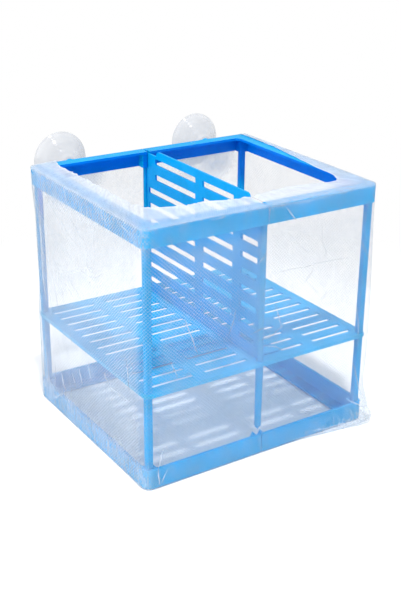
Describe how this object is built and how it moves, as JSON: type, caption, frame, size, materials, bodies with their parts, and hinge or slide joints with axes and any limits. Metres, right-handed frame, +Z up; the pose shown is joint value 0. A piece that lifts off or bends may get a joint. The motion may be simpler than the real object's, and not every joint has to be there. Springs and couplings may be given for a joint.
{
  "type": "fish breeding box",
  "caption": "Boxy aquarium breeding box with a clip-together blue plastic frame inside a fine white net bag, a slotted shelf, a lift-out slotted divider and clear suction cups.",
  "frame": {"origin": "centre of the footprint of the box, on the underside of the net it stands on", "axes": "+X to the right along the longer side, +Y to the back where the suction cups meet the tank glass, +Z up out of the open top"},
  "size_m": [0.161, 0.1575, 0.1704],
  "materials": {
    "frame_plastic": "smooth translucent injection moulded plastic",
    "divider_plastic": "smooth translucent injection moulded plastic",
    "clear_soft_plastic": "clear soft plastic, glossy",
    "net": "fine woven mesh, see-through"
  },
  "bodies": {
    "frame": {"top_frame_left": "frame_plastic", "top_frame_right": "frame_plastic", "bottom_frame_left": "frame_plastic", "bottom_frame_right": "frame_plastic", "upper_post_front_left": "frame_plastic", "upper_post_front_right": "frame_plastic", "upper_post_back_left": "frame_plastic", "upper_post_back_right": "frame_plastic", "lower_post_front_left": "frame_plastic", "lower_post_front_right": "frame_plastic", "lower_post_back_left": "frame_plastic", "lower_post_back_right": "frame_plastic", "middle_post_front": "frame_plastic", "middle_post_back": "frame_plastic", "shelf_plate_left": "frame_plastic", "shelf_plate_right": "frame_plastic", "net_front_panel": "net", "net_back_panel": "net", "net_left_panel": "net", "net_right_panel": "net", "net_bottom_panel": "net", "net_hem": "net"},
    "divider": {"divider": "divider_plastic"},
    "cup_left": {"suction_cup_left": "clear_soft_plastic"},
    "cup_right": {"suction_cup_right": "clear_soft_plastic"}
  },
  "joints": [
    {"name": "divider_lift", "type": "slide", "parent": "frame", "child": "divider", "axis": [0, 0, 1], "range_m": [0, 0.105]},
    {"name": "cup_left_turn", "type": "hinge", "parent": "frame", "child": "cup_left", "pos_m": [-0.0506, 0.07, 0.1524], "axis": [0, 1, 0], "continuous": true},
    {"name": "cup_right_turn", "type": "hinge", "parent": "frame", "child": "cup_right", "pos_m": [0.0506, 0.07, 0.1524], "axis": [0, 1, 0], "continuous": true}
  ]
}
